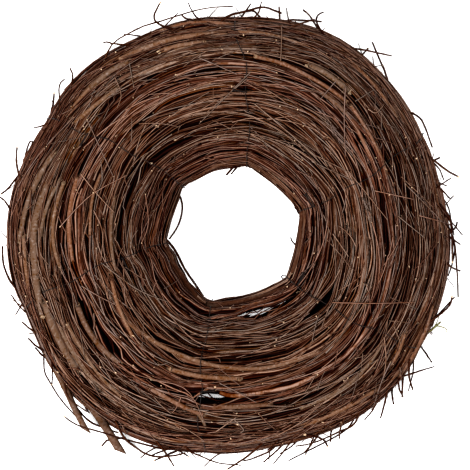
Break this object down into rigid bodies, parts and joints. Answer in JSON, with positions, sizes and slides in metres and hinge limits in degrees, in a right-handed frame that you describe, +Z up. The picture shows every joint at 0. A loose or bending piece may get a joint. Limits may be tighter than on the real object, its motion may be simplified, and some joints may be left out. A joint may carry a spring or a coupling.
{
  "type": "rattan wreath",
  "caption": "Thick ring wreath of rattan twigs laid in rows round an open middle, bound across by thin dark wires, with cut canes and stray twig ends at the rim.",
  "frame": {"origin": "on the surface the wreath lies on, under the middle of its rim circle", "axes": "+Z up out of the face, +Y towards the top of the wreath as pictured, +X to its right"},
  "size_m": [0.4132, 0.4164, 0.0772],
  "materials": {
    "bark_brown": "matt dry bark, brown",
    "bark_red": "matt dry bark, reddish brown",
    "bark_grey": "matt dry bark, grey brown",
    "bark_dark": "matt dry bark, in the shade of the rows above",
    "tie_wire": "annealed iron binding wire, dark and dull"
  },
  "bodies": {
    "root": {"row_1": "bark_brown", "row_2": "bark_red", "row_3": "bark_grey", "row_4": "bark_brown", "row_5": "bark_red", "row_6": "bark_grey", "row_7": "bark_brown", "row_8": "bark_red", "back_row_1": "bark_brown", "back_row_2": "bark_brown", "back_row_3": "bark_brown", "back_row_4": "bark_brown", "inner_row_1": "bark_dark", "inner_row_2": "bark_dark", "tie_wire_1": "tie_wire", "tie_wire_2": "tie_wire", "tie_wire_3": "tie_wire", "tie_wire_4": "tie_wire", "tie_wire_5": "tie_wire", "tie_wire_6": "tie_wire"}
  },
  "joints": []
}
